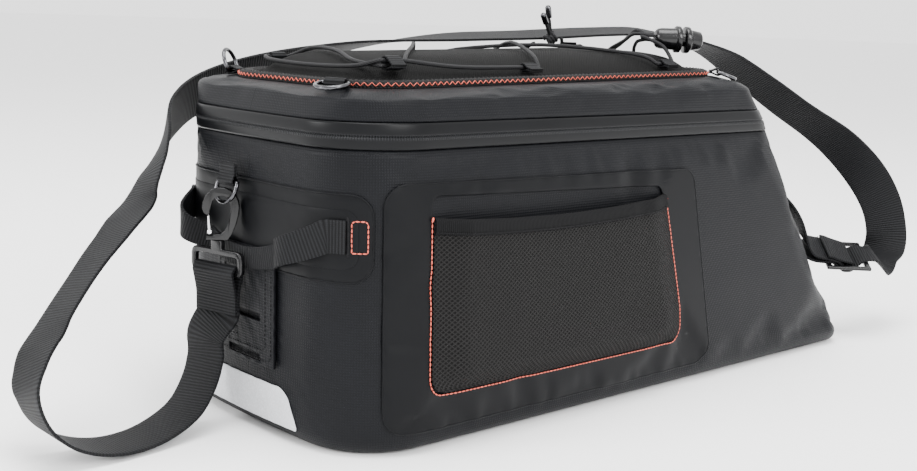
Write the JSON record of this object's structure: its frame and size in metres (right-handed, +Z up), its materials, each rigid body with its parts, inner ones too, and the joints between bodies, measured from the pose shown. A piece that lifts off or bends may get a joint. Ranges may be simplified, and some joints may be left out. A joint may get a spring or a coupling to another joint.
{
  "type": "bicycle rack bag",
  "caption": "Soft bicycle rack bag with a slanted front end, zipped domed lid, bungee net, side pockets, rear light flap and a clipped shoulder strap.",
  "frame": {"origin": "centre of the flat bottom face, on the surface that the bag stands on", "axes": "+X along the length towards the slanted front end, +Z up, the near long side faces -Y and the rear end faces -X"},
  "size_m": [0.7016, 0.2255, 0.247],
  "materials": {
    "coated_cloth": "matt",
    "smooth_overlay": "satin",
    "zip_tape_film": "satin",
    "dark_mesh": "matt",
    "reflective_film": "satin",
    "webbing": "matt",
    "border_webbing": "matt",
    "black_plastic": "satin",
    "dark_metal": "satin",
    "steel": "polished",
    "elastic_cord": "matt"
  },
  "bodies": {
    "bag": {"body_tub": "coated_cloth", "lid": "coated_cloth", "zip_tape": "zip_tape_film", "zip_slider": "black_plastic", "top_panel": "dark_mesh", "top_border": "border_webbing", "rear_overlay": "smooth_overlay", "light_flap": "coated_cloth", "reflective_patch": "reflective_film", "side_panel_near": "smooth_overlay", "side_panel_far": "smooth_overlay", "pocket_near": "dark_mesh", "pocket_far": "dark_mesh", "pocket_band_near": "webbing", "pocket_band_far": "webbing", "rear_handle": "webbing", "rear_ring_tab": "webbing", "rear_d_ring": "dark_metal", "rear_hook": "black_plastic", "rear_hook_loop": "black_plastic", "front_ring_tab": "webbing", "front_d_ring": "dark_metal", "front_hook": "black_plastic", "front_hook_loop": "black_plastic", "shoulder_strap": "webbing", "strap_slider": "black_plastic", "top_tab_rear_near": "webbing", "top_tab_rear_far": "webbing", "top_tab_front_near": "webbing", "top_tab_front_far": "webbing", "top_ring_rear_near": "dark_metal", "top_ring_rear_far": "dark_metal", "top_ring_front_near": "dark_metal", "top_ring_front_far": "dark_metal", "bungee_net": "elastic_cord", "bungee_far": "elastic_cord", "bungee_loop": "elastic_cord", "bungee_knot": "elastic_cord", "bungee_tail_one": "elastic_cord", "bungee_tail_two": "elastic_cord", "bungee_crimp_one": "dark_metal", "bungee_crimp_two": "dark_metal", "bungee_tab_rear_near": "webbing", "bungee_tab_rear_far": "webbing", "bungee_tab_near": "webbing", "bungee_tab_far": "webbing", "bungee_tab_far_knot": "webbing", "bungee_tab_front_near": "webbing", "bungee_tab_front_far": "webbing", "cord_lock": "black_plastic"},
    "rear_gate": {"rear_hook_gate": "steel"},
    "front_gate": {"front_hook_gate": "steel"},
    "lock_button": {"cord_lock_button": "black_plastic"}
  },
  "joints": [
    {"name": "rear_gate_hinge", "type": "hinge", "parent": "bag", "child": "rear_gate", "pos_m": [-0.26076, 0.01519, 0.11213], "axis": [0.6157, 0.788, 0], "range_deg": [0, 25], "stiffness_Nm_per_rad": 0.02},
    {"name": "front_gate_hinge", "type": "hinge", "parent": "bag", "child": "front_gate", "pos_m": [0.16573, -0.02818, 0.1365], "axis": [-0.7439, -0.6683, -0.0009], "range_deg": [0, 25], "stiffness_Nm_per_rad": 0.02},
    {"name": "lock_button_slide", "type": "slide", "parent": "bag", "child": "lock_button", "axis": [-0.8303, 0.5561, 0.0368], "range_m": [0, 0.003], "stiffness_N_per_m": 300}
  ]
}
